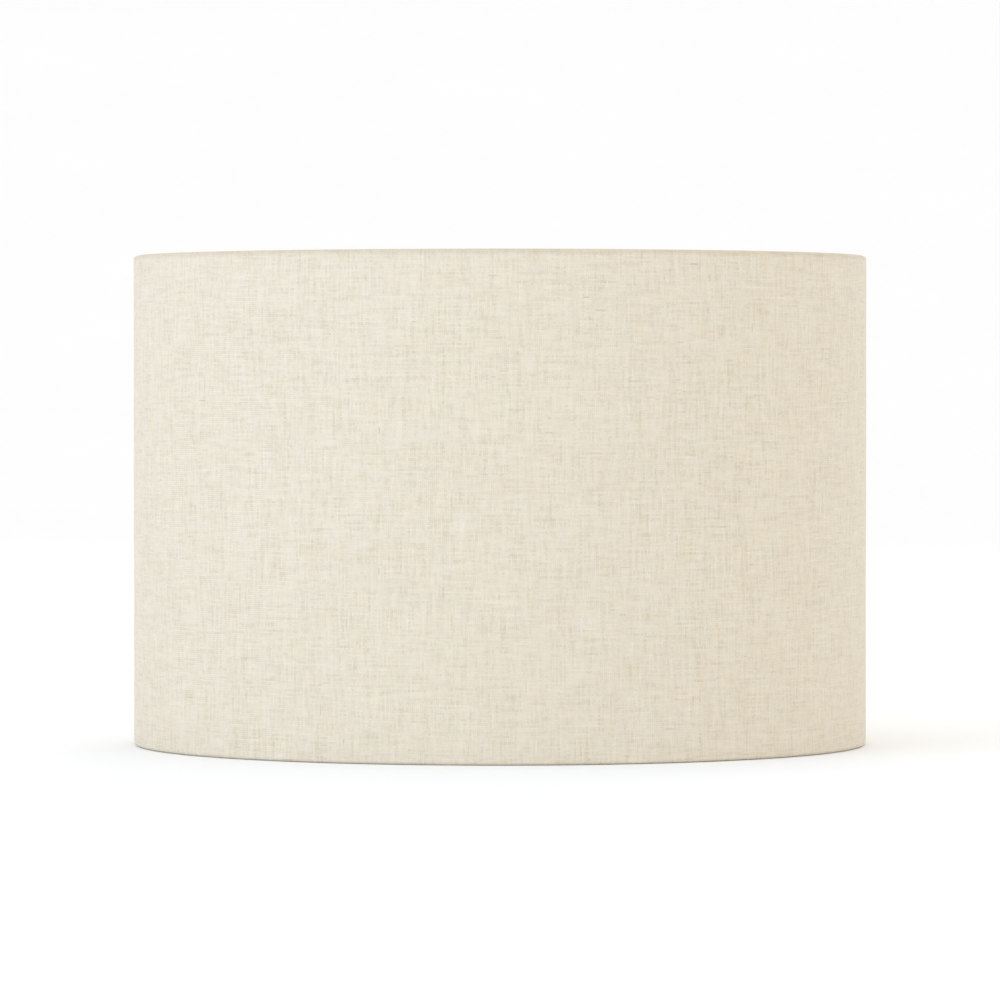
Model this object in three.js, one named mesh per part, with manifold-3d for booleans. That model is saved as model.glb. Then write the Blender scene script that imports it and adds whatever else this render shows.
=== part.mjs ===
// A drum lamp shade with rolled edges: linen cloth on a stiff plastic liner, rolled round two wire
// rings, with a three-armed fitter that sits on a lampholder and a loose reducer ring in the fitter.
// Millimetres, +Z up. The origin is the middle of the bottom rim, on the plane that the rim stands on.
// The front is -Y. The overlap seam of the panel is at the back, +Y.
import * as THREE from 'three';
import { mergeVertices } from 'three/addons/utils/BufferGeometryUtils.js';
import Module from 'manifold-3d';

const wasm = await Module();
wasm.setup();

// ---- driving dimensions ----

const SHADE_DIAMETER = 450; // over the cloth
const SHADE_HEIGHT = 300;
const CLOTH = 0.6; // thickness of the linen
const LINER = 0.5; // thickness of the plastic sheet
const TAPE = 0.2; // thickness of the double-sided tape
const GLUE_GAP = 0.15; // left between layers that are stuck together
const WIRE_RADIUS = 1.5; // of both rings
const ARM_RADIUS = 1.75;
const FITTER_RISE = 30; // lampholder seat above the bottom rim
const FITTER_HOLE_RADIUS = 21; // takes a lampholder with a 40 mm thread
const REDUCER_HOLE_RADIUS = 14.25; // takes a lampholder with a 28 mm thread
const SHEET_STEEL = 1.2;
const SEAM_OVERLAP = 3; // degrees, about 12 mm of cloth

// ---- worked out from them ----

const STEP = 6; // degrees that each flat of a round wall takes up
const ROUND = 360 / STEP;
const R_CLOTH = SHADE_DIAMETER / 2;
const R_LINER = R_CLOTH - CLOTH - GLUE_GAP;
const R_RING_TAPE = R_LINER - LINER - GLUE_GAP;
const R_WIRE = R_RING_TAPE - TAPE - GLUE_GAP - WIRE_RADIUS; // middle of the ring's wire
const ROLL_GAP = 0.2; // between the wire and the cloth rolled round it
const ROLL_INSIDE = WIRE_RADIUS + ROLL_GAP;
const ROLL_OUTSIDE = ROLL_INSIDE + CLOTH;
const ROLL_FLAT = 1.4; // width of the flat that the shade stands on, pressed into the fold
const Z_LOW_WIRE = ROLL_OUTSIDE;
const Z_TOP_WIRE = SHADE_HEIGHT - ROLL_OUTSIDE;
const SEAM_LIFT = LINER + CLOTH + TAPE + 3 * GLUE_GAP; // how far the top layer stands out over the seam

const LINEN = new THREE.MeshStandardMaterial({ color: '#e6dfd1', roughness: 0.95 });
const PLASTIC_LINER = new THREE.MeshStandardMaterial({ color: '#f1eee6', roughness: 0.6 });
const STICKY_TAPE = new THREE.MeshStandardMaterial({ color: '#dcd6c6', roughness: 0.5 });
const COATED_STEEL = new THREE.MeshStandardMaterial({ color: '#eceae4', roughness: 0.4 });
const REDUCER_PLASTIC = new THREE.MeshStandardMaterial({ color: '#f4f3ef', roughness: 0.35 });

const shade = new THREE.Group();

function addPiece(name, geometry, material) {
  const mesh = new THREE.Mesh(geometry, material);
  mesh.name = name;
  shade.add(mesh);
  return mesh;
}

function radians(degrees) {
  return THREE.MathUtils.degToRad(degrees);
}

// ---- solids ----

// A closed mesh as a manifold-3d solid.
function solidOf(geometry) {
  const bare = geometry.clone();
  bare.deleteAttribute('normal');
  bare.deleteAttribute('uv');
  const merged = mergeVertices(bare, 1e-4);
  return new wasm.Manifold(new wasm.Mesh({
    numProp: 3,
    vertProperties: merged.attributes.position.array,
    triVerts: new Uint32Array(merged.index.array),
  }));
}

function geometryOf(solid) {
  const { vertProperties, triVerts } = solid.getMesh();
  const geometry = new THREE.BufferGeometry();
  geometry.setAttribute('position', new THREE.BufferAttribute(vertProperties, 3));
  geometry.setIndex(new THREE.BufferAttribute(triVerts, 1));
  geometry.computeVertexNormals();
  return geometry;
}

// An outline of [radius, height] points, run anticlockwise, turned about Z.
function turned(outline, segments) {
  const points = outline.map(([r, z]) => new THREE.Vector2(r, z));
  return new THREE.LatheGeometry([...points, points[0].clone()], segments).rotateX(Math.PI / 2);
}

// ---- the panel: cloth stuck to liner, rolled up with one end lapped over the other ----

// Where the panel runs, from its inner end to its free outer end: [degrees, lift off the round].
function panelStations() {
  const innerEnd = 90 - SEAM_OVERLAP / 2;
  const climbFrom = 450 - STEP;
  const climbOver = 4;
  const climbSteps = 4;
  const stations = [[innerEnd, 0]];
  for (let angle = 90; angle < climbFrom; angle += STEP) stations.push([angle, 0]);
  for (let i = 0; i <= climbSteps; i++) {
    const share = i / climbSteps;
    const lift = SEAM_LIFT * THREE.MathUtils.smoothstep(share, 0, 1);
    stations.push([climbFrom + climbOver * share, lift]);
  }
  stations.push([450, SEAM_LIFT], [450 + SEAM_OVERLAP / 2, SEAM_LIFT]);
  return stations;
}

// A layer that follows the stations, between two radii and two heights.
function layer(stations, rInner, rOuter, zLow, zHigh) {
  const at = (r) => stations.map(([angle, lift]) => new THREE.Vector2(
    (r + lift) * Math.cos(radians(angle)),
    (r + lift) * Math.sin(radians(angle)),
  ));
  const plan = new THREE.Shape([...at(rOuter), ...at(rInner).reverse()]);
  const height = zHigh - zLow;
  return new THREE.ExtrudeGeometry(plan, { depth: height, bevelEnabled: false }).translate(0, 0, zLow);
}

// The cloth's edge where it goes over a ring, down inside it and back towards the liner.
// It is drawn for the top ring; the bottom one is its mirror image.
function rollOutline() {
  const inset = 0.02; // keeps the roll's root inside the wall that it joins
  const root = 0.1;
  const flatFrom = 72; // degrees round the wire, either side of the flat on the crown
  const flatTo = 180 - flatFrom;
  const tailEnd = 300; // where the raw edge stops
  const turn = (reach, rise, from, to, steps) => {
    const points = [];
    for (let i = 0; i <= steps; i++) {
      const angle = radians(from + (to - from) * i / steps);
      points.push([R_WIRE + reach * Math.cos(angle), Z_TOP_WIRE + rise * Math.sin(angle)]);
    }
    return points;
  };
  const reach = R_CLOTH - inset - R_WIRE;
  const innerReach = reach - CLOTH + 2 * inset;
  return [
    [R_WIRE + reach, Z_TOP_WIRE - root],
    ...turn(reach, ROLL_OUTSIDE, 0, flatFrom, 3).slice(0, -1),
    [R_WIRE + ROLL_FLAT / 2, SHADE_HEIGHT],
    [R_WIRE - ROLL_FLAT / 2, SHADE_HEIGHT],
    ...turn(ROLL_OUTSIDE, ROLL_OUTSIDE, flatTo, tailEnd, 5).slice(1),
    ...turn(ROLL_INSIDE, ROLL_INSIDE, tailEnd, 90, 5),
    ...turn(innerReach, ROLL_INSIDE, 90, 0, 3).slice(1),
    [R_WIRE + innerReach, Z_TOP_WIRE - root],
  ];
}

const ARM_ANGLES = [270, 30, 150];

// The slit in the bottom roll through which one arm leaves the ring.
function armSlit(angle) {
  const half = ARM_RADIUS + 0.4;
  const innermost = R_WIRE - ROLL_OUTSIDE - 2;
  const tunnel = new THREE.CylinderGeometry(half, half, R_WIRE - 1 - innermost, 16)
    .rotateZ(Math.PI / 2)
    .translate((R_WIRE - 1 + innermost) / 2, 0, Z_LOW_WIRE);
  const slotEnd = R_WIRE + ROLL_INSIDE;
  const slot = new THREE.BoxGeometry(slotEnd - innermost, 2 * half, ROLL_OUTSIDE + 1)
    .translate((slotEnd + innermost) / 2, 0, Z_LOW_WIRE + (ROLL_OUTSIDE + 1) / 2);
  return solidOf(tunnel).add(solidOf(slot)).rotate([0, 0, angle]);
}

function coverCloth() {
  const wall = solidOf(layer(panelStations(), R_CLOTH - CLOTH, R_CLOTH, Z_LOW_WIRE, Z_TOP_WIRE));
  const topRoll = solidOf(turned(rollOutline(), ROUND));
  const bottomOutline = rollOutline().map(([r, z]) => [r, SHADE_HEIGHT - z]).reverse();
  let cloth = wall.add(topRoll).add(solidOf(turned(bottomOutline, ROUND)));
  for (const angle of ARM_ANGLES) cloth = cloth.subtract(armSlit(angle));
  return geometryOf(cloth);
}

function liner() {
  const margin = 0.3; // the sheet is cut a little short of the cloth's fold
  return layer(panelStations(), R_LINER - LINER, R_LINER, Z_LOW_WIRE + margin, Z_TOP_WIRE - margin);
}

// The tape that holds the lapped end down.
function seamTape() {
  const halfWidth = SEAM_OVERLAP / 2 - 0.3;
  const stations = [90 - halfWidth, 90, 90 + halfWidth].map((angle) => [angle, 0]);
  const margin = 4; // short of the rims
  const rInner = R_CLOTH + GLUE_GAP;
  return layer(stations, rInner, rInner + TAPE, Z_LOW_WIRE + margin, Z_TOP_WIRE - margin);
}

addPiece('cover_cloth', coverCloth(), LINEN);
addPiece('liner', liner(), PLASTIC_LINER);
addPiece('seam_tape', seamTape(), STICKY_TAPE);

// ---- the two rings, and the tape between each ring and the liner ----

function wireRing() {
  return new THREE.TorusGeometry(R_WIRE, WIRE_RADIUS, 8, ROUND);
}

// A band of tape behind a ring, reaching further towards the middle of the shade than to the rim.
function ringTape(zWire, towardsMiddle) {
  const near = zWire - towardsMiddle * 0.8;
  const far = zWire + towardsMiddle * 3.7;
  const [zLow, zHigh] = [Math.min(near, far), Math.max(near, far)];
  const [rInner, rOuter] = [R_RING_TAPE - TAPE, R_RING_TAPE];
  return turned([[rInner, zLow], [rOuter, zLow], [rOuter, zHigh], [rInner, zHigh]], ROUND);
}

addPiece('top_ring', wireRing(), COATED_STEEL).position.z = Z_TOP_WIRE;
addPiece('bottom_ring', wireRing(), COATED_STEEL).position.z = Z_LOW_WIRE;
addPiece('top_ring_tape', ringTape(Z_TOP_WIRE, -1), STICKY_TAPE);
addPiece('bottom_ring_tape', ringTape(Z_LOW_WIRE, 1), STICKY_TAPE);

// ---- the fitter: three arms from the bottom ring to a stamped collar ----

const FITTER_SEGMENTS = 48;
const COLLAR_STEP = 2; // the collar's rim lies this much lower than its seat
const COLLAR_RADIUS = 31;
const Z_COLLAR_RIM = FITTER_RISE - COLLAR_STEP; // underside of the rim, where the arms are welded

// A wire's centre line in the XZ plane, with each corner rounded.
function bentLine(corners, cut) {
  const points = corners.map(([x, z]) => new THREE.Vector3(x, 0, z));
  const path = new THREE.CurvePath();
  let from = points[0];
  for (let i = 1; i < points.length - 1; i++) {
    const before = points[i].clone().lerp(points[i - 1], cut / points[i].distanceTo(points[i - 1]));
    const after = points[i].clone().lerp(points[i + 1], cut / points[i].distanceTo(points[i + 1]));
    path.add(new THREE.LineCurve3(from, before));
    path.add(new THREE.QuadraticBezierCurve3(before, points[i], after));
    from = after;
  }
  path.add(new THREE.LineCurve3(from, points[points.length - 1]));
  return path;
}

function arm() {
  const zInner = Z_COLLAR_RIM - ARM_RADIUS - GLUE_GAP;
  const corners = [
    [R_WIRE - WIRE_RADIUS - GLUE_GAP, Z_LOW_WIRE],
    [R_WIRE - 16, Z_LOW_WIRE],
    [46, zInner],
    [COLLAR_RADIUS - 5, zInner],
  ];
  const bend = 7;
  const section = new THREE.Shape().absarc(0, 0, ARM_RADIUS, 0, 2 * Math.PI, false);
  return new THREE.ExtrudeGeometry(section, {
    extrudePath: bentLine(corners, bend),
    steps: 32,
    curveSegments: 4,
  });
}

// Sheet steel, stamped so that the seat round the hole stands above the rim.
function fitterCollar() {
  const bendFrom = 25.4;
  const bendTo = 27.4;
  return turned([
    [FITTER_HOLE_RADIUS, FITTER_RISE],
    [bendFrom, FITTER_RISE],
    [bendTo, Z_COLLAR_RIM],
    [COLLAR_RADIUS, Z_COLLAR_RIM],
    [COLLAR_RADIUS, Z_COLLAR_RIM + SHEET_STEEL],
    [bendTo + 0.5, Z_COLLAR_RIM + SHEET_STEEL],
    [bendFrom + 0.5, FITTER_RISE + SHEET_STEEL],
    [FITTER_HOLE_RADIUS, FITTER_RISE + SHEET_STEEL],
  ], FITTER_SEGMENTS);
}

ARM_ANGLES.forEach((angle, i) => {
  addPiece(`fitter_arm_${i + 1}`, arm(), COATED_STEEL).rotation.z = radians(angle);
});
addPiece('fitter_collar', fitterCollar(), COATED_STEEL);

// ---- the loose reducer ring that lies on the collar ----

function reducerRing() {
  const top = FITTER_RISE + SHEET_STEEL + 0.3; // underside of its flange
  const flange = 1.5;
  const spigotRadius = FITTER_HOLE_RADIUS - 0.4;
  const skirt = 1.4; // wall of the spigot and of the inner lip
  const spigotLow = FITTER_RISE - 1.5;
  const lipHigh = top + flange + 1.2;
  const hole = REDUCER_HOLE_RADIUS;
  const ring = solidOf(turned([
    [hole, spigotLow],
    [hole + skirt, spigotLow],
    [hole + skirt, top],
    [spigotRadius - skirt, top],
    [spigotRadius - skirt, spigotLow],
    [spigotRadius, spigotLow],
    [spigotRadius, top],
    [24.6, top],
    [25, top + 0.4],
    [25, top + flange - 0.4],
    [24.6, top + flange],
    [hole + skirt, top + flange],
    [hole + skirt, lipHigh - 0.3],
    [hole + skirt - 0.3, lipHigh],
    [hole, lipHigh],
  ], FITTER_SEGMENTS));
  const ribCount = 6;
  const ribLength = spigotRadius - hole - skirt;
  const rib = new THREE.BoxGeometry(ribLength, 1.2, top - spigotLow - 0.6)
    .translate(hole + skirt / 2 + ribLength / 2, 0, (top + spigotLow) / 2 + 0.4);
  let reducer = ring;
  for (let i = 0; i < ribCount; i++) {
    reducer = reducer.add(solidOf(rib).rotate([0, 0, (i + 0.25) * 360 / ribCount]));
  }
  return geometryOf(reducer);
}

addPiece('reducer_ring', reducerRing(), REDUCER_PLASTIC);

export default shade;
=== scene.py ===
# A drum lamp shade of undyed linen with rolled edges, on its three-armed ring fitter.
# The sections follow the shade as it is put together, from the cloth on the outside to the fitter.
# Metres, Z up. The drum's axis is the Z axis, and the bottom rim stands on z = 0.
import math

import bpy
import numpy as np
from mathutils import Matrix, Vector


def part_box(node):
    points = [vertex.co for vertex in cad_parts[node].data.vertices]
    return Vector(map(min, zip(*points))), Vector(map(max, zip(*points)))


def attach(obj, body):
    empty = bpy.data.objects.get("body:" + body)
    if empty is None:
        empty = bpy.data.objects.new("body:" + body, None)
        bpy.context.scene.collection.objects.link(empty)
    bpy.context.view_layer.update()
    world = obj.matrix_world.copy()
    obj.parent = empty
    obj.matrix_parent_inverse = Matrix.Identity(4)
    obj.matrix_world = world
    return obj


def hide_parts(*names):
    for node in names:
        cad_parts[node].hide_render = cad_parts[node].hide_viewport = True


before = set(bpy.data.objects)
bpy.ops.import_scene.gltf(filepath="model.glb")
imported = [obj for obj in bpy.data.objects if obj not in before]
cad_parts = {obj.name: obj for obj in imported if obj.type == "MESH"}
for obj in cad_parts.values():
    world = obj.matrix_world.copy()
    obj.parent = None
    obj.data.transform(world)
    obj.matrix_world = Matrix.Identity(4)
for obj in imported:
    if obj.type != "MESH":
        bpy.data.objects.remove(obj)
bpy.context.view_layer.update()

# ---- Camera and studio ----
# A pale floor, flat to well behind any camera and then rising slowly like a dish, under a soft white
# sky. A cool window light stands at the front left and a weak white one at the back. The camera is
# far away on a long lens, a little below the shade's top rim.

MM = 0.001
_, drum_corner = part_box("cover_cloth")
drum_radius, drum_height = drum_corner.x, drum_corner.z
drum_middle = Vector((0, 0, drum_height / 2))


def linear(hex_colour):
    """A colour given in sRGB as #rrggbb, as linear RGBA."""
    parts = [int(hex_colour[i : i + 2], 16) / 255 for i in (1, 3, 5)]
    return [c / 12.92 if c <= 0.04045 else ((c + 0.055) / 1.055) ** 2.4 for c in parts] + [1]


def add(tree, kind, inputs=None, **settings):
    """Adds one node. inputs maps a socket's name or number to a value or to another node's output."""
    made = tree.nodes.new(kind)
    for name, value in settings.items():
        setattr(made, name, value)
    for key, value in (inputs or {}).items():
        if isinstance(value, bpy.types.NodeSocket):
            tree.links.new(value, made.inputs[key])
        else:
            made.inputs[key].default_value = value
    return made


def new_material(name, **constants):
    """A material with an empty Principled shader; constants go straight on its sockets."""
    material = bpy.data.materials.new(name)
    material.use_nodes = True
    shader = material.node_tree.nodes["Principled BSDF"]
    for key, value in constants.items():
        shader.inputs[key.replace("_", " ")].default_value = value
    return material, material.node_tree, shader


def mesh_piece(name, points, edges=(), faces=()):
    """An object with this mesh, in the scene."""
    mesh = bpy.data.meshes.new(name)
    mesh.from_pydata([tuple(p) for p in points], list(edges), list(faces))
    piece = bpy.data.objects.new(name, mesh)
    bpy.context.scene.collection.objects.link(piece)
    return piece


CREASE = math.radians(20)  # sharper bends are creased, so that the flat faces beside them look flat


def turned(name, outline, steps, closed=True):
    """A piece turned about Z from an outline of (radius, height) points, run anticlockwise. An open
    outline starts near the axis, and one more face closes the middle."""
    count = len(outline)
    points = []
    for i in range(steps):
        angle = 2 * math.pi * i / steps
        points += [(r * math.cos(angle), r * math.sin(angle), z) for r, z in outline]
    faces = []
    for i in range(steps):
        here, there = i * count, (i + 1) % steps * count
        for j in range(count if closed else count - 1):
            k = (j + 1) % count
            faces.append((here + j, there + j, there + k, here + k))
    if not closed:
        faces.append([i * count for i in reversed(range(steps))])
    piece = mesh_piece(name, points, faces=faces)
    piece.data.shade_smooth()
    piece.data.set_sharp_from_angle(angle=CREASE)
    return piece


def studio():
    """The floor: a flat round middle, then a dish that rises as the square of the way out."""
    flat_reach, dish_reach, dish_width, dish_rings = 5, 16, 20, 23
    outline = [(r, 0) for r in (1 * MM, 1, 2, 4)]
    for radius in np.linspace(flat_reach, dish_reach, dish_rings):
        outline.append((radius, (radius - flat_reach) ** 2 / dish_width))
    floor = turned("studio_floor", outline, 96, closed=False)
    floor.data.flip_normals()
    paper, tree, shader = new_material("white_background_paper", Roughness=0.9)
    shader.inputs["Specular IOR Level"].default_value = 0.1
    place = add(tree, "ShaderNodeTexCoord").outputs["Object"]
    mottle = add(tree, "ShaderNodeTexNoise", {"Vector": place, "Scale": 3, "Detail": 2})
    tone = add(tree, "ShaderNodeMix", {"Factor": mottle.outputs["Fac"]}, data_type="RGBA")
    tone.inputs["A"].default_value = linear("#f7f7f6")
    tone.inputs["B"].default_value = linear("#f9f9f8")
    tree.links.new(tone.outputs["Result"], shader.inputs["Base Color"])
    floor.data.materials.append(paper)


def lamp(name, place, size, watts, colour):
    """A round soft light at this place, turned to the middle of the drum."""
    light = bpy.data.lights.new(name, "AREA")
    light.shape = "DISK"
    light.size = size
    light.energy = watts
    light.color = linear(colour)[:3]
    stand = bpy.data.objects.new(name, light)
    stand.location = place
    stand.rotation_euler = (drum_middle - Vector(place)).to_track_quat("-Z", "Y").to_euler()
    bpy.context.scene.collection.objects.link(stand)


def camera():
    """The camera, in front of the drum and turned to its middle. Lengths go by the drum's radius."""
    distance = 17.1 * drum_radius
    under_rim = 0.344 * drum_radius
    data = bpy.data.cameras.new("camera")
    data.lens = 225
    data.sensor_width = 36
    data.clip_end = 100
    stand = bpy.data.objects.new("camera", data)
    stand.location = (0, -distance, drum_height - under_rim)
    towards = drum_middle - stand.location
    stand.rotation_euler = towards.to_track_quat("-Z", "Y").to_euler()
    bpy.context.scene.collection.objects.link(stand)
    bpy.context.scene.camera = stand


camera()
studio()
lamp("window", (-2.6, -2.6, 1.7), 2.4, 37, "#b2d3ff")
lamp("back", (0.8, 3.2, 2.2), 2.4, 16, "#ffffff")
sky = bpy.data.worlds.new("soft_white_sky")
sky.use_nodes = True
sky.node_tree.nodes["Background"].inputs["Color"].default_value = linear("#ffffff")
sky.node_tree.nodes["Background"].inputs["Strength"].default_value = 1.06
bpy.context.scene.world = sky
bpy.context.scene.view_settings.view_transform = "Standard"

# ---- Cover cloth ----
# One panel of undyed linen, laminated flat on the liner. It is bent into the drum with one end
# lapped over the other at the back, and its edges are rolled over the rings and tucked in behind.
# At each arm of the fitter the tucked edge is slit, so that the arm can pass.

CLOTH = 0.6 * MM
LINER = 0.5 * MM
GLUE = 0.15 * MM  # the room that each glue line takes
TAPE = 0.2 * MM
LAP_OFF_WALL = LINER + CLOTH + TAPE + 3 * GLUE  # how far the lapped end stands off the drum
SEAM_ANGLE, LAP_ANGLE = 90, 3
ARM_ANGLES = (270, 30, 150)

ring_low, ring_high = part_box("top_ring")
wire_radius = (ring_high.z - ring_low.z) / 2
ring_radius = ring_high.x - wire_radius  # to the middle of the wire
top_wire = (ring_low.z + ring_high.z) / 2
low_wire = drum_height - top_wire


def plan_of_panel():
    """Where the panel runs, seen from above: one row of (angle, lift, along, at an arm, over the other
    end) per station. lift is 0 on the drum and 1 where the panel lies over its own other end."""
    step = 0.75  # degrees
    slit = 1.1 * step  # half the slit at an arm
    first, last = SEAM_ANGLE - LAP_ANGLE / 2, SEAM_ANGLE + LAP_ANGLE / 2 + 360
    climb_from, climb_to = SEAM_ANGLE - 6 + 360, SEAM_ANGLE - 2 + 360
    rows = []
    for angle in np.arange(first, last + step / 2, step):
        share = min(max((angle - climb_from) / (climb_to - climb_from), 0), 1)
        near_arm = min(abs((angle - arm + 180) % 360 - 180) for arm in ARM_ANGLES) < slit
        over_end = angle > first + 360 - step / 2
        rows.append([angle, share * share * (3 - 2 * share), 0, float(near_arm), float(over_end)])
    fold = (LINER + CLOTH) / 2 + GLUE  # the end is bent in over the liner's cut edge
    for turn in (25, 50, 75, 100):
        out = math.degrees(fold * math.sin(math.radians(turn)) / drum_radius)
        lift = 1 - fold * (1 - math.cos(math.radians(turn))) / LAP_OFF_WALL
        rows.append([last + out, lift, 0, 0, 1])
    for before, row in zip(rows, rows[1:]):
        row[2] = before[2] + abs(math.radians(row[0] - before[0])) * drum_radius
        row[2] += abs(row[1] - before[1]) * LAP_OFF_WALL if row[0] > last else 0
    return rows


def arc(centre, radii, start, end, steps):
    """Points on a stretch of an ellipse, angles in degrees, both ends included."""
    turn = np.radians(np.linspace(start, end, steps + 1))
    return [(centre[0] + radii[0] * math.cos(t), centre[1] + radii[1] * math.sin(t)) for t in turn]


def section_of_cloth():
    """The middle of the cloth's thickness, from the raw edge behind the bottom ring to the one behind
    the top ring: (radius, height, out, up, across, lap, pucker, slit, turn-in) per point."""
    slack = 0.2 * MM  # between the ring and the cloth that is rolled round it
    roll = wire_radius + slack + CLOTH / 2
    wall = drum_radius - CLOTH / 2
    reach = wall - ring_radius
    tail, crown = 305, 90  # degrees round the wire: the raw edge, and the top of the roll
    tail_steps, reach_steps, wall_rows = 15, 8, 26
    half = []
    for radius, height in arc((ring_radius, 0), (roll, roll), tail, crown, tail_steps)[:-1]:
        out, up = (radius - ring_radius) / roll, height / roll
        half.append([radius, height, out, up, 0, 1 - len(half) / tail_steps, 1])
    for radius, height in arc((ring_radius, 0), (reach, roll), crown, 0, reach_steps):
        out, up = (radius - ring_radius) / reach**2, height / roll**2
        size = math.hypot(out, up)
        lap = LAP_OFF_WALL * (out / size) ** 2
        half.append([radius, height, out / size, up / size, lap, 0, float(height > 0.7 * roll)])
    rows = []
    for i, (radius, height, out, up, lap, tucked, turn_in) in enumerate(half):
        slit = float(i < 0.8 * tail_steps)
        rows.append([radius, low_wire - height, out, -up, 0, lap, tucked, slit, turn_in])
    for height in np.linspace(low_wire, top_wire, wall_rows)[1:-1]:
        rows.append([wall, height, 1, 0, 0, LAP_OFF_WALL, 0, 0, 0])
    for radius, height, out, up, lap, tucked, turn_in in reversed(half):
        rows.append([radius, top_wire + height, out, up, 0, lap, tucked, 0, turn_in])
    for before, row in zip(rows, rows[1:]):
        row[4] = before[4] + math.hypot(row[0] - before[0], row[1] - before[1])
    return rows


def table_piece(name, columns, rows):
    """A row of loose points that carries named numbers for a Geometry Nodes tree to read."""
    piece = mesh_piece(name, [(0, 0, 0)] * len(rows))
    for column, label in enumerate(columns):
        attribute = piece.data.attributes.new(label, "FLOAT", "POINT")
        attribute.data.foreach_set("value", [row[column] for row in rows])
    return piece


PLAN_COLUMNS = ("angle", "lift", "along", "at_arm", "over_end")
SECTION_COLUMNS = ("radius", "height", "out", "up", "across", "lap", "pucker", "slit", "turn_in")


def new_tree(name, sockets):
    """An empty Geometry Nodes tree with these named inputs, its input node and its output node."""
    tree = bpy.data.node_groups.new(name, "GeometryNodeTree")
    tree.interface.new_socket("Geometry", in_out="OUTPUT", socket_type="NodeSocketGeometry")
    for label, kind in sockets.items():
        tree.interface.new_socket(label, in_out="INPUT", socket_type=f"NodeSocket{kind}")
    return tree, add(tree, "NodeGroupInput").outputs, add(tree, "NodeGroupOutput")


def calculator(tree):
    """A function that adds one Math node and gives its result."""

    def calculate(operation, *values):
        return add(tree, "ShaderNodeMath", dict(enumerate(values)), operation=operation).outputs[0]

    return calculate


def finish_tree(tree, geometry, material, output):
    """Every tree ends the same way: smooth faces, real geometry and the piece's material."""
    smooth = add(tree, "GeometryNodeSetShadeSmooth", {"Geometry": geometry})
    real = add(tree, "GeometryNodeRealizeInstances", {"Geometry": smooth.outputs[0]})
    coat = {"Geometry": real.outputs[0], "Material": material}
    coated = add(tree, "GeometryNodeSetMaterial", coat)
    tree.links.new(coated.outputs[0], output.inputs[0])


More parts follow.
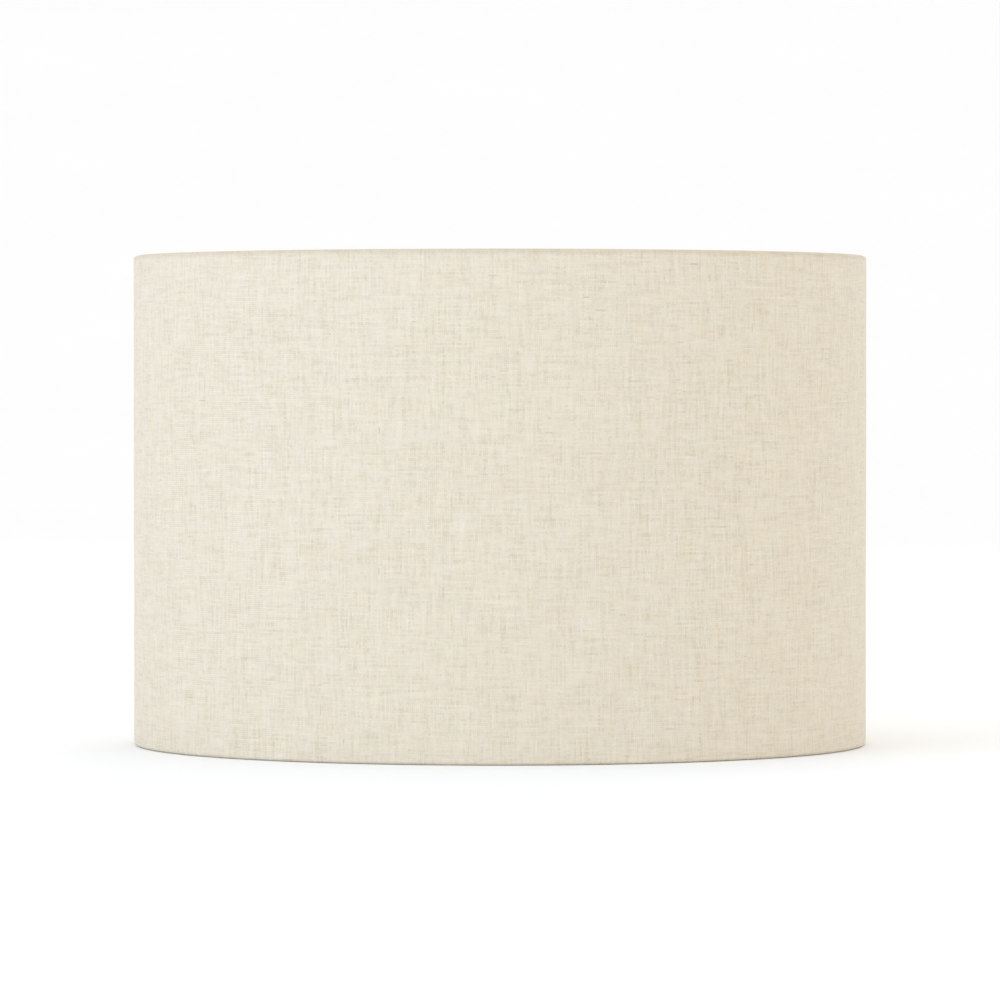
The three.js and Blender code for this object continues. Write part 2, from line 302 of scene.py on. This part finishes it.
def sheet_tree():
    """A sheet bent round the drum: a grid whose rows and columns take their places from two tables."""
    tree, given, output = new_tree("Sheet round the drum", {
        "Plan": "Object", "Section": "Object", "Stations": "Int", "Points across": "Int",
        "Pucker depth": "Float", "Pucker length": "Float", "Waviness": "Float", "Seed": "Float",
        "Material": "Material",
    })
    maths = calculator(tree)
    size = {"Vertices X": given["Stations"], "Vertices Y": given["Points across"]}
    grid = add(tree, "GeometryNodeMeshGrid", size).outputs["Mesh"]
    index = add(tree, "GeometryNodeInputIndex").outputs[0]
    station = maths("FLOOR", maths("DIVIDE", maths("ADD", index, 0.5), given["Points across"]))
    point = maths("SUBTRACT", index, maths("MULTIPLY", station, given["Points across"]))
    value = {}
    for labels, source, row in (
        (PLAN_COLUMNS, given["Plan"], station),
        (SECTION_COLUMNS, given["Section"], point),
    ):
        rows = add(tree, "GeometryNodeObjectInfo", {"Object": source}).outputs["Geometry"]
        for label in labels:
            column = add(tree, "GeometryNodeInputNamedAttribute", {"Name": label}, data_type="FLOAT")
            read = {"Geometry": rows, "Value": column.outputs[0], "Index": row}
            value[label] = add(tree, "GeometryNodeSampleIndex", read, data_type="FLOAT").outputs[0]
    # Gathers in the tucked edge, where the cloth is too long for the smaller circle. They run twice
    # as far across the edge as along it, and stand out more than they dip in.
    dip = 0.35
    down_edge = add(tree, "ShaderNodeCombineXYZ", {
        0: maths("DIVIDE", value["along"], given["Pucker length"]),
        1: maths("DIVIDE", value["across"], maths("MULTIPLY", given["Pucker length"], 2)),
        2: given["Seed"],
    })
    gathers = add(tree, "ShaderNodeTexNoise", {
        "Vector": down_edge.outputs[0], "Scale": 1, "Detail": 1,
    })
    uneven = maths("MULTIPLY", maths("SUBTRACT", gathers.outputs[0], dip), given["Pucker depth"])
    off = maths("ADD", maths("MULTIPLY", value["lift"], value["lap"]),
                maths("MULTIPLY", value["pucker"], uneven))
    radius = maths("ADD", value["radius"], maths("MULTIPLY", value["out"], off))
    height = maths("ADD", value["height"], maths("MULTIPLY", value["up"], off))
    # Slow waves in the stretched sheet, about 100 mm long round the drum and 75 mm up it.
    waves_round, waves_up = 2.2, 6  # waves to a radian, and how much closer they are up the drum
    turn = maths("RADIANS", value["angle"])
    flat = add(tree, "ShaderNodeCombineXYZ", {
        0: maths("COSINE", turn), 1: maths("SINE", turn), 2: maths("MULTIPLY", height, waves_up),
    })
    waves = add(tree, "ShaderNodeTexNoise", {
        "Vector": flat.outputs[0], "Scale": waves_round, "Detail": 1,
    })
    radius = maths("ADD", radius, maths("MULTIPLY", maths("SUBTRACT", waves.outputs[0], 0.5),
                                        given["Waviness"]))
    place = add(tree, "ShaderNodeCombineXYZ", {
        0: maths("MULTIPLY", radius, maths("COSINE", turn)),
        1: maths("MULTIPLY", radius, maths("SINE", turn)),
        2: height,
    })
    # Each point's place on the flat panel, in metres. It is written on the points first, because the
    # index that the tables are read by counts points.
    on_panel = add(tree, "ShaderNodeCombineXYZ", {0: value["along"], 1: value["across"]})
    cut = maths("ADD", maths("MULTIPLY", value["slit"], value["at_arm"]),
                maths("MULTIPLY", value["turn_in"], value["over_end"]))
    marked = grid
    for label, kind, number in (
        ("on_panel", "FLOAT_VECTOR", on_panel.outputs[0]),
        ("cut_away", "BOOLEAN", maths("GREATER_THAN", cut, 0.5)),
    ):
        marked = add(tree, "GeometryNodeStoreNamedAttribute", {
            "Geometry": marked, "Name": label, "Value": number,
        }, data_type=kind, domain="POINT").outputs[0]
    bent = add(tree, "GeometryNodeSetPosition", {"Geometry": marked, "Position": place.outputs[0]})
    written = add(tree, "GeometryNodeInputNamedAttribute", {"Name": "on_panel"},
                  data_type="FLOAT_VECTOR")
    mapped = add(tree, "GeometryNodeStoreNamedAttribute", {
        "Geometry": bent.outputs[0], "Name": "UVMap", "Value": written.outputs[0],
    }, data_type="FLOAT2", domain="CORNER")
    cut_away = add(tree, "GeometryNodeInputNamedAttribute", {"Name": "cut_away"}, data_type="BOOLEAN")
    left = add(tree, "GeometryNodeDeleteGeometry", {
        "Geometry": mapped.outputs[0], "Selection": cut_away.outputs[0],
    }, domain="FACE")
    finish_tree(tree, left.outputs[0], given["Material"], output)
    return tree


def made_by(tree, name, inputs, thickness=0, helpers=()):
    """Runs a tree with these inputs, gives it a thickness if asked, and keeps the plain mesh."""
    piece = mesh_piece(name, [])
    maker = piece.modifiers.new("maker", "NODES")
    maker.node_group = tree
    for item in tree.interface.items_tree:
        if item.in_out == "INPUT":
            maker[item.identifier] = inputs[item.name]
    if thickness:
        body = piece.modifiers.new("thickness", "SOLIDIFY")
        body.thickness = thickness
        body.offset = 0
        body.use_even_offset = True
    bpy.context.view_layer.update()
    shown = piece.evaluated_get(bpy.context.evaluated_depsgraph_get())
    mesh = bpy.data.meshes.new_from_object(shown, depsgraph=bpy.context.evaluated_depsgraph_get())
    piece.modifiers.clear()
    piece.data = mesh
    mesh.name = name
    mesh.set_sharp_from_angle(angle=math.radians(40))  # creases cut edges and keeps rolls smooth
    for helper in helpers:
        bpy.data.objects.remove(helper)
    return piece


def linen_material(name, base, dark, pale):
    """Undyed linen, plain weave. Each yarn keeps its own tone for a few centimetres and has thick
    places, so the surface shows as short streaks across and down, with no shine."""
    material, tree, shader = new_material(name, Roughness=0.92, Sheen_Weight=0.12)
    shader.inputs["Specular IOR Level"].default_value = 0.25
    shader.inputs["Sheen Roughness"].default_value = 0.5
    maths = calculator(tree)
    place = add(tree, "ShaderNodeUVMap", uv_map="UVMap").outputs[0]
    # The real yarns are about 0.7 mm apart, too fine to show, so they are drawn 1.2 mm apart. They
    # wander off their line by up to half of that, to and fro in about 11 mm.
    yarn = 1.2 * MM
    tone_length = 28 * MM
    drift = add(tree, "ShaderNodeTexNoise", {"Vector": place, "Scale": 0.09 / MM, "Detail": 2})
    split = add(tree, "ShaderNodeSeparateXYZ", {0: place})
    wander = maths("MULTIPLY", maths("SUBTRACT", drift.outputs[0], 0.5), yarn)
    along = maths("ADD", split.outputs[0], wander)
    across = maths("ADD", split.outputs[1], wander)
    tones, humps, numbers = [], [], []
    unlike = 1.37  # steps of noise from one yarn to the next, so that neighbours aren't alike
    for over, under, seed in ((along, across, 3.0), (across, along, 8.0)):
        count = maths("DIVIDE", over, yarn)
        number = maths("FLOOR", count)
        spot = add(tree, "ShaderNodeCombineXYZ", {
            0: maths("MULTIPLY", number, unlike), 1: maths("DIVIDE", under, tone_length), 2: seed,
        })
        tone = add(tree, "ShaderNodeTexNoise", {
            "Vector": spot.outputs[0], "Scale": 1, "Detail": 4, "Roughness": 0.8,
        })
        tones.append(tone.outputs[0])
        humps.append(maths("SINE", maths("MULTIPLY", maths("FRACT", count), math.pi)))
        numbers.append(number)
    # The yarn on top gives a third of the tone, and the mean of the two that cross gives the rest.
    crossing = maths("MODULO", maths("ABSOLUTE", maths("ADD", *numbers)), 2)
    on_top = maths("ADD", maths("MULTIPLY", tones[0], crossing),
                   maths("MULTIPLY", tones[1], maths("SUBTRACT", 1, crossing)))
    both = maths("MULTIPLY", maths("ADD", *tones), 0.5)
    tone = maths("ADD", maths("MULTIPLY", on_top, 0.35), maths("MULTIPLY", both, 0.65))
    # Where a yarn is on top it is round across its width, and dips only a little at its ends. The gap
    # on each side of it is darkened with painted shade.
    width, length = [
        maths("ADD", maths("MULTIPLY", warp, crossing),
              maths("MULTIPLY", weft, maths("SUBTRACT", 1, crossing)))
        for warp, weft in (humps, humps[::-1])
    ]
    dip_at_ends, gap_width, usual_gap, gap_shade_depth = 0.3, 0.35, 0.15, 0.2
    relief = maths("MULTIPLY", width, maths("POWER", length, dip_at_ends))
    # Painted shade: the tone is darkened in the gaps between the yarns.
    gap = maths("SUBTRACT", 1, maths("POWER", width, gap_width))
    shade = maths("MULTIPLY", maths("SUBTRACT", gap, usual_gap), gap_shade_depth)
    tone = maths("SUBTRACT", tone, shade)
    ramp = add(tree, "ShaderNodeValToRGB", {"Fac": tone})
    ramp.color_ramp.elements[0].position = 0.30
    ramp.color_ramp.elements[0].color = linear(dark)
    ramp.color_ramp.elements[1].position = 0.70
    ramp.color_ramp.elements[1].color = linear(pale)
    middle = ramp.color_ramp.elements.new(0.5)
    middle.color = linear(base)
    # Yarns from different bales: some are a little yellower than others.
    warp_bales, weft_bales = 2.31, 1.73
    bale = add(tree, "ShaderNodeCombineXYZ", {
        0: maths("MULTIPLY", numbers[0], warp_bales), 1: maths("MULTIPLY", numbers[1], weft_bales),
    })
    bales = add(tree, "ShaderNodeTexNoise", {
        "Vector": bale.outputs[0], "Scale": 0.05, "Detail": 5, "Roughness": 0.75,
    })
    yellow = add(tree, "ShaderNodeMapRange", {
        "Value": bales.outputs[0], "From Min": 0.35, "From Max": 0.65,
    })
    dyed = add(tree, "ShaderNodeMix", {
        "Factor": yellow.outputs[0], "A": ramp.outputs[0], "B": linear("#fffcf6"),
    }, data_type="RGBA", blend_type="MULTIPLY")
    # Over the top ring there is no white liner behind the cloth. The last few millimetres of the top
    # roll are darkened here with painted shade, the shade of a roll that curves away from the light.
    # The bottom roll is in the floor's shade already.
    solid_place = add(tree, "ShaderNodeTexCoord").outputs["Object"]
    level = add(tree, "ShaderNodeSeparateXYZ", {0: solid_place}).outputs[2]
    top_rim_shade_mask = add(tree, "ShaderNodeMapRange", {
        "Value": level, "From Min": drum_height - 4 * MM, "From Max": drum_height - MM,
        "To Max": 0.7,
    })
    # Painted shade: the top roll's colour is multiplied darker towards the rim.
    painted_rim_shade = add(tree, "ShaderNodeMix", {
        "Factor": top_rim_shade_mask.outputs[0], "A": dyed.outputs["Result"], "B": linear("#ebe6e0"),
    }, data_type="RGBA", blend_type="MULTIPLY")
    tree.links.new(painted_rim_shade.outputs["Result"], shader.inputs["Base Color"])
    round_yarn = 0.6  # how much of the relief is the yarns' roundness; the rest is their thick places
    height = maths("ADD", maths("MULTIPLY", relief, round_yarn), both)
    bump = add(tree, "ShaderNodeBump", {"Height": height, "Strength": 0.4, "Distance": 0.3 * MM})
    tree.links.new(bump.outputs[0], shader.inputs["Normal"])
    return material


linen = linen_material("undyed_linen_plain_weave", "#e1d8c6", "#ccc1ab", "#ebe3d3")
sheet_round_drum = sheet_tree()


def sheet_piece(name, plan, section, thickness, material, pucker_depth=0):
    """A sheet that follows a plan and a section round the drum, as wavy as all the others."""
    tables = (
        table_piece(name + "_plan", PLAN_COLUMNS, plan),
        table_piece(name + "_section", SECTION_COLUMNS, section),
    )
    return made_by(sheet_round_drum, name, {
        "Plan": tables[0], "Section": tables[1], "Stations": len(plan),
        "Points across": len(section), "Pucker depth": pucker_depth, "Pucker length": 9 * MM,
        "Waviness": 0.3 * MM, "Seed": 4.0, "Material": material,
    }, thickness, tables)


cloth_section = section_of_cloth()
panel_plan = plan_of_panel()
gather_depth = 0.8 * MM
cloth = sheet_piece("rolled_linen_cover", panel_plan, cloth_section, CLOTH, linen, gather_depth)
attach(cloth, "shade")
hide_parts("cover_cloth")

# ---- Slubs ----
# Thick places in the hand-spun yarn. They stand a little proud of the cloth, across or down it, and
# are a shade darker or paler than the yarn round them.


def slub_tree():
    """Long grains scattered on a flat strip, which is then bent round the drum."""
    tree, given, output = new_tree("Slubs in the yarn", {
        "Girth": "Float", "Radius": "Float", "Low": "Float", "High": "Float",
        "Start angle": "Float", "Per square metre": "Float", "Length": "Float", "Width": "Float",
        "Height": "Float", "Seed": "Int", "Material": "Material",
    })
    maths = calculator(tree)
    tall = maths("SUBTRACT", given["High"], given["Low"])
    flat = add(tree, "GeometryNodeMeshGrid", {
        "Size X": given["Girth"], "Size Y": tall, "Vertices X": 2, "Vertices Y": 2,
    })
    spots = add(tree, "GeometryNodeDistributePointsOnFaces", {
        "Mesh": flat.outputs[0], "Density": given["Per square metre"], "Seed": given["Seed"],
    })
    grain = add(tree, "GeometryNodeMeshUVSphere", {"Segments": 6, "Rings": 4, "Radius": 1})
    # Shares of the full length, width and height. Squaring the length makes most slubs short.
    chance = {}
    for label, low, high, seed in (
        ("long", 0.25, 1, 1), ("wide", 0.6, 1.2, 2), ("high", 0.5, 1, 3), ("down", 0, 1, 4),
        ("tint", 0, 1, 5),
    ):
        chance[label] = add(tree, "FunctionNodeRandomValue", {
            "Min": low, "Max": high, "Seed": seed,
        }, data_type="FLOAT").outputs["Value"]
    size = add(tree, "ShaderNodeCombineXYZ", {
        0: maths("MULTIPLY", given["Length"], maths("POWER", chance["long"], 2)),
        1: maths("MULTIPLY", given["Width"], chance["wide"]),
        2: maths("MULTIPLY", given["Height"], chance["high"]),
    })
    quarter = maths("MULTIPLY", maths("GREATER_THAN", chance["down"], 0.5), math.pi / 2)
    turn = add(tree, "ShaderNodeCombineXYZ", {2: quarter})
    tinted = add(tree, "GeometryNodeStoreNamedAttribute", {
        "Geometry": spots.outputs[0], "Name": "tint", "Value": chance["tint"],
    }, data_type="FLOAT", domain="POINT")
    laid = add(tree, "GeometryNodeInstanceOnPoints", {
        "Points": tinted.outputs[0], "Instance": grain.outputs[0], "Rotation": turn.outputs[0],
        "Scale": size.outputs[0],
    })
    real = add(tree, "GeometryNodeRealizeInstances", {"Geometry": laid.outputs[0]})
    here = add(tree, "GeometryNodeInputPosition").outputs[0]
    split = add(tree, "ShaderNodeSeparateXYZ", {0: here})
    angle = maths("ADD", given["Start angle"],
                  maths("DIVIDE", maths("ADD", split.outputs[0],
                                        maths("MULTIPLY", given["Girth"], 0.5)), given["Radius"]))
    out = maths("ADD", given["Radius"], split.outputs[2])
    place = add(tree, "ShaderNodeCombineXYZ", {
        0: maths("MULTIPLY", out, maths("COSINE", angle)),
        1: maths("MULTIPLY", out, maths("SINE", angle)),
        2: maths("ADD", split.outputs[1],
                 maths("MULTIPLY", maths("ADD", given["Low"], given["High"]), 0.5)),
    })
    bent = add(tree, "GeometryNodeSetPosition", {
        "Geometry": real.outputs[0], "Position": place.outputs[0],
    })
    finish_tree(tree, bent.outputs[0], given["Material"], output)
    return tree


def slub_material():
    """The same linen yarn, matt; loosely spun places take up less bleach, so they are darker."""
    material, tree, shader = new_material("linen_slub_yarn", Roughness=0.95)
    shader.inputs["Specular IOR Level"].default_value = 0.2
    tint = add(tree, "ShaderNodeAttribute", attribute_name="tint").outputs["Fac"]
    ramp = add(tree, "ShaderNodeValToRGB", {"Fac": tint})
    ramp.color_ramp.elements[0].color = linear("#cfc2aa")
    ramp.color_ramp.elements[1].color = linear("#ebe0cf")
    middle = ramp.color_ramp.elements.new(0.5)
    middle.color = linear("#dcd0be")
    place = add(tree, "ShaderNodeTexCoord").outputs["Object"]
    fuzz = add(tree, "ShaderNodeTexNoise", {"Vector": place, "Scale": 1.5 / MM, "Detail": 2})
    bump = add(tree, "ShaderNodeBump", {"Height": fuzz.outputs[0], "Strength": 0.3,
                                        "Distance": 0.1 * MM})
    tree.links.new(ramp.outputs[0], shader.inputs["Base Color"])
    tree.links.new(bump.outputs[0], shader.inputs["Normal"])
    return material


slub_start, slub_end = SEAM_ANGLE + LAP_ANGLE, SEAM_ANGLE - 8 + 360  # clear of the lapped end
slub_to_rim = 8 * MM
slubs = made_by(slub_tree(), "linen_slubs", {
    "Girth": math.radians(slub_end - slub_start) * drum_radius, "Radius": drum_radius,
    "Low": slub_to_rim, "High": drum_height - slub_to_rim, "Start angle": math.radians(slub_start),
    "Per square metre": 1500.0, "Length": 4.5 * MM, "Width": 0.4 * MM, "Height": 0.16 * MM,
    "Seed": 11, "Material": slub_material(),
})
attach(slubs, "shade")

# ---- Liner ----
# A stiff sheet of white plastic that the linen is laminated on. It shows inside the drum, satin and
# very slightly uneven from the lamination, and its own lapped end shows at the back.


def upright_section(radius, low, high, lap, rows=14):
    """A straight upright section for a sheet, as section_of_cloth gives for the cloth."""
    heights = np.linspace(low, high, rows)
    return [[radius, height, 1, 0, height - low, lap, 0, 0, 0] for height in heights]


def liner_material():
    """PVC sheet, calendered: smooth and satin, slightly yellow, with faint flow marks some 70 mm
    long and the weave of the linen just showing through as grains of 1.4 mm."""
    material, tree, shader = new_material("white_pvc_sheet", Roughness=0.45)
    place = add(tree, "ShaderNodeUVMap", uv_map="UVMap").outputs[0]
    cloud = add(tree, "ShaderNodeTexNoise", {"Vector": place, "Scale": 0.014 / MM, "Detail": 3})
    tone = add(tree, "ShaderNodeMix", {
        "Factor": cloud.outputs["Fac"], "A": linear("#efeadd"), "B": linear("#f6f2e8"),
    }, data_type="RGBA")
    tree.links.new(tone.outputs["Result"], shader.inputs["Base Color"])
    rough = add(tree, "ShaderNodeMapRange", {"Value": cloud.outputs["Fac"], "To Min": 0.38,
                                             "To Max": 0.55})
    tree.links.new(rough.outputs[0], shader.inputs["Roughness"])
    pressed = add(tree, "ShaderNodeTexNoise", {"Vector": place, "Scale": 0.7 / MM, "Detail": 2})
    bump = add(tree, "ShaderNodeBump", {"Height": pressed.outputs["Fac"], "Strength": 0.12,
                                        "Distance": 0.1 * MM})
    tree.links.new(bump.outputs[0], shader.inputs["Normal"])
    return material


liner_low, liner_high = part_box("liner")
liner_plan = [row for row in plan_of_panel() if row[0] <= SEAM_ANGLE + LAP_ANGLE / 2 + 360]
liner = sheet_piece(
    "white_liner", liner_plan,
    upright_section(liner_high.x - LINER / 2, liner_low.z, liner_high.z, LAP_OFF_WALL),
    LINER, liner_material(),
)
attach(liner, "shade")
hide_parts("liner")

# ---- Tapes ----
# Double-sided tape: one strip in the lapped seam, and one behind each ring where the panel is
# pressed on it. Only a thin edge of a ring's strip can be seen, past the tucked cloth.


def tape_material():
    """Clear acrylic adhesive on a paper-white carrier: a little glossy, in patches of about 8 mm
    where it is more or less yellow."""
    material, tree, shader = new_material("double_sided_tape", Roughness=0.4)
    place = add(tree, "ShaderNodeTexCoord").outputs["Object"]
    cloud = add(tree, "ShaderNodeTexNoise", {"Vector": place, "Scale": 0.12 / MM, "Detail": 2})
    tone = add(tree, "ShaderNodeMix", {
        "Factor": cloud.outputs["Fac"], "A": linear("#ddd6c0"), "B": linear("#eae5d5"),
    }, data_type="RGBA")
    tree.links.new(tone.outputs["Result"], shader.inputs["Base Color"])
    return material


def plan_of_strip(middle, half_angle, steps):
    """The plan of a strip that lies on the drum from one angle to another."""
    angles = np.linspace(middle - half_angle, middle + half_angle, steps + 1)
    return [[angle, 0, math.radians(angle) * drum_radius, 0, 0] for angle in angles]


tape_film = tape_material()
for node in ("seam_tape", "top_ring_tape", "bottom_ring_tape"):
    low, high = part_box(node)
    if node == "seam_tape":
        outside = high.y
        plan = plan_of_strip(SEAM_ANGLE, math.degrees(math.asin(high.x / outside)), 8)
    else:
        outside = high.x
        plan = plan_of_strip(SEAM_ANGLE + 180, 179.8, 240)  # the two ends nearly meet at the seam
    section = upright_section(outside - TAPE / 2, low.z, high.z, 0, rows=4)
    strip = sheet_piece(node + "_strip", plan, section, TAPE, tape_film)
    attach(strip, "shade")
    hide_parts(node)

# ---- Rings and arms ----
# Steel wire, butt-welded into rings, with three bent arms resistance-welded to the bottom ring and
# to the underside of the collar. The whole frame is powder-coated white after welding.


def wire_tree():
    """Round wire along a path of straight lines, with every corner bent to one radius."""
    tree, given, output = new_tree("Wire along a path", {
        "Path": "Object", "Wire diameter": "Float", "Bend radius": "Float", "Sides": "Int",
        "Material": "Material",
    })
    maths = calculator(tree)
    points = add(tree, "GeometryNodeObjectInfo", {"Object": given["Path"]}).outputs["Geometry"]
    path = add(tree, "GeometryNodeMeshToCurve", {"Mesh": points}).outputs[0]
    bent = add(tree, "GeometryNodeFilletCurve", {
        "Curve": path, "Radius": given["Bend radius"], "Limit Radius": True,
    }, mode="POLY")
    bent.inputs["Count"].default_value = 8
    section = add(tree, "GeometryNodeCurvePrimitiveCircle", {
        "Resolution": given["Sides"], "Radius": maths("MULTIPLY", given["Wire diameter"], 0.5),
    })
    wire = add(tree, "GeometryNodeCurveToMesh", {
        "Curve": bent.outputs[0], "Profile Curve": section.outputs[0], "Fill Caps": True,
    })
    finish_tree(tree, wire.outputs[0], given["Material"], output)
    return tree


def coated_steel_material():
    """Powder coat, polyester, white and satin: orange peel of about 1 mm, and patches of about
    17 mm where it lies thicker and glossier."""
    material, tree, shader = new_material("white_powder_coated_steel", Roughness=0.38)
    place = add(tree, "ShaderNodeTexCoord").outputs["Object"]
    peel = add(tree, "ShaderNodeTexNoise", {"Vector": place, "Scale": 0.9 / MM, "Detail": 2})
    bump = add(tree, "ShaderNodeBump", {"Height": peel.outputs["Fac"], "Strength": 0.15,
                                        "Distance": 0.1 * MM})
    tree.links.new(bump.outputs[0], shader.inputs["Normal"])
    dust = add(tree, "ShaderNodeTexNoise", {"Vector": place, "Scale": 0.06 / MM, "Detail": 3})
    tone = add(tree, "ShaderNodeMix", {
        "Factor": dust.outputs["Fac"], "A": linear("#e9e7e1"), "B": linear("#f1f0ec"),
    }, data_type="RGBA")
    tree.links.new(tone.outputs["Result"], shader.inputs["Base Color"])
    rough = add(tree, "ShaderNodeMapRange", {"Value": dust.outputs["Fac"], "To Min": 0.32,
                                             "To Max": 0.48})
    tree.links.new(rough.outputs[0], shader.inputs["Roughness"])
    return material


wire_along_path = wire_tree()
coated_steel = coated_steel_material()


def wire_piece(name, points, diameter, bend, sides, closed=False):
    """A wire through these points, and back to the first if it is closed."""
    count = len(points)
    edges = [(i, (i + 1) % count) for i in range(count if closed else count - 1)]
    path = mesh_piece(name + "_path", points, edges)
    return made_by(wire_along_path, name, {
        "Path": path, "Wire diameter": diameter, "Bend radius": bend, "Sides": sides,
        "Material": coated_steel,
    }, helpers=[path])


for node, level in (("top_ring", top_wire), ("bottom_ring", low_wire)):
    circle = [
        (ring_radius * math.cos(t), ring_radius * math.sin(t), level)
        for t in np.radians(np.arange(0, 360, 1.5))
    ]
    ring = wire_piece(node + "_wire", circle, 2 * wire_radius, 0.0, 14, closed=True)
    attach(ring, "shade")
    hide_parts(node)

_, arm_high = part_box("fitter_arm_1")
collar_low, collar_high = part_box("fitter_collar")
collar_radius = collar_high.x
arm_radius = arm_high.x
into_ring, into_collar = 0.4 * MM, 0.05 * MM  # how far the welds press the arms in
under_collar = 5 * MM
flat_by_ring, slope_ends = 16 * MM, 46 * MM  # the arm climbs from one to the other
arm_level = collar_low.z - arm_radius + into_collar
across_and_up = [
    (ring_radius - wire_radius + into_ring, low_wire),
    (ring_radius - flat_by_ring, low_wire),
    (slope_ends, arm_level),
    (collar_radius - under_collar, arm_level),
]
arm_bend = 90 * MM
for number, angle in enumerate(ARM_ANGLES, 1):
    cos, sin = math.cos(math.radians(angle)), math.sin(math.radians(angle))
    bends = [(r * cos, r * sin, z) for r, z in across_and_up]
    arm = wire_piece(f"bent_arm_{number}", bends, 2 * arm_radius, arm_bend, 20)
    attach(arm, "shade")
    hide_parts(f"fitter_arm_{number}")

# ---- Collar ----
# Stamped from 1.2 mm steel sheet: a seat round the hole, a short step down, and a flat rim that the
# arms are welded under. Its cut edges are rounded by the coating.


def rounded(outline, radius, steps=4):
    """The same closed outline with every corner rounded, but never past the middle of a side."""
    most = 0.45
    made = []
    for i, corner in enumerate(outline):
        corner = np.array(corner)
        before, after = np.array(outline[i - 1]), np.array(outline[(i + 1) % len(outline)])
        to_before, to_after = before - corner, after - corner
        cut = min(radius, np.linalg.norm(to_before) * most, np.linalg.norm(to_after) * most)
        start = corner + to_before / np.linalg.norm(to_before) * cut
        end = corner + to_after / np.linalg.norm(to_after) * cut
        for share in np.linspace(0, 1, steps + 1):
            made.append(tuple(start * (1 - share) ** 2 + corner * 2 * share * (1 - share)
                              + end * share**2))
    return made


sheet_steel = 1.2 * MM
hole_radius = 21 * MM
step_from, step_to = 25.4 * MM, 27.4 * MM
outer_bend = 0.5 * MM  # how much further out the step is on its upper side
edge_radius = 0.5 * MM
seat, rim = collar_high.z - sheet_steel, collar_low.z
collar_outline = [
    (hole_radius, seat), (step_from, seat), (step_to, rim), (collar_radius, rim),
    (collar_radius, rim + sheet_steel), (step_to + outer_bend, rim + sheet_steel),
    (step_from + outer_bend, collar_high.z), (hole_radius, collar_high.z),
]
collar = turned("stamped_collar", rounded(collar_outline, edge_radius), 120)
collar.data.materials.append(coated_steel)
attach(collar, "shade")
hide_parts("fitter_collar")

# ---- Reducer ring ----
# A loose moulding of white ABS that lies in the collar's hole and brings it down to a small
# lampholder: a flange, two short walls under it and thin ribs between them.

reducer_low, reducer_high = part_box("reducer_ring")


def reducer_outline():
    """Half of a cut through the ring: the inner wall, the outer wall and the flange over them."""
    clearance, flange, play = 0.3 * MM, 1.5 * MM, 0.4 * MM
    under = collar_high.z + clearance
    over = under + flange
    hole, wall, outer = 14.25 * MM, 1.4 * MM, hole_radius - play
    low, high = reducer_low.z, reducer_high.z
    return [
        (hole, low), (hole + wall, low), (hole + wall, under), (outer - wall, under),
        (outer - wall, low), (outer, low), (outer, under), (reducer_high.x, under),
        (reducer_high.x, over), (hole + wall, over), (hole + wall, high), (hole, high),
    ]


def rib_tree():
    """Ribs set round a ring and joined to it in one body."""
    tree, given, output = new_tree("Ribs in the reducer", {
        "Ring": "Object", "Count": "Int", "Middle radius": "Float", "Level": "Float",
        "Rib size": "Vector", "Material": "Material",
    })
    ring = add(tree, "GeometryNodeObjectInfo", {"Object": given["Ring"]}).outputs["Geometry"]
    spots = add(tree, "GeometryNodeMeshCircle", {
        "Vertices": given["Count"], "Radius": given["Middle radius"],
    })
    index = add(tree, "GeometryNodeInputIndex").outputs[0]
    maths = calculator(tree)
    angle = maths("MULTIPLY", maths("DIVIDE", index, given["Count"]), 2 * math.pi)
    turn = add(tree, "ShaderNodeCombineXYZ", {2: angle})
    up = add(tree, "ShaderNodeCombineXYZ", {2: given["Level"]})
    rib = add(tree, "GeometryNodeMeshCube", {"Size": given["Rib size"]})
    raised = add(tree, "GeometryNodeTransform", {
        "Geometry": rib.outputs[0], "Translation": up.outputs[0],
    })
    ribs = add(tree, "GeometryNodeInstanceOnPoints", {
        "Points": spots.outputs[0], "Instance": raised.outputs[0], "Rotation": turn.outputs[0],
    })
    real = add(tree, "GeometryNodeRealizeInstances", {"Geometry": ribs.outputs[0]})
    joined = add(tree, "GeometryNodeMeshBoolean", operation="UNION", solver="EXACT")
    for part in (ring, real.outputs[0]):
        tree.links.new(part, joined.inputs["Mesh 2"])
    finish_tree(tree, joined.outputs[0], given["Material"], output)
    return tree


def reducer_material():
    """ABS, injection-moulded: satin from a spark-eroded tool, with a grain of about 0.5 mm, and
    slightly warm white, in flow patches of about 12 mm."""
    material, tree, shader = new_material("moulded_white_abs", Roughness=0.4)
    place = add(tree, "ShaderNodeTexCoord").outputs["Object"]
    grain = add(tree, "ShaderNodeTexNoise", {"Vector": place, "Scale": 2.2 / MM, "Detail": 1})
    bump = add(tree, "ShaderNodeBump", {"Height": grain.outputs["Fac"], "Strength": 0.1,
                                        "Distance": 0.05 * MM})
    tree.links.new(bump.outputs[0], shader.inputs["Normal"])
    cloud = add(tree, "ShaderNodeTexNoise", {"Vector": place, "Scale": 0.08 / MM, "Detail": 2})
    tone = add(tree, "ShaderNodeMix", {
        "Factor": cloud.outputs["Fac"], "A": linear("#e6e3dc"), "B": linear("#eceae4"),
    }, data_type="RGBA")
    tree.links.new(tone.outputs["Result"], shader.inputs["Base Color"])
    return material


moulded_edge = 0.3 * MM
plain_ring = turned("plain_reducer", rounded(reducer_outline(), moulded_edge, 3), 96)
rib_into_flange = 0.4 * MM
reducer = made_by(rib_tree(), "reducer_moulding", {
    "Ring": plain_ring, "Count": 6, "Middle radius": 17.4 * MM,
    "Level": (reducer_low.z + collar_high.z) / 2 + rib_into_flange,
    "Rib size": (4.2 * MM, 1.2 * MM, 2.6 * MM), "Material": reducer_material(),
}, helpers=[plain_ring])
reducer.data.set_sharp_from_angle(angle=CREASE)
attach(reducer, "reducer")
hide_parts("reducer_ring")
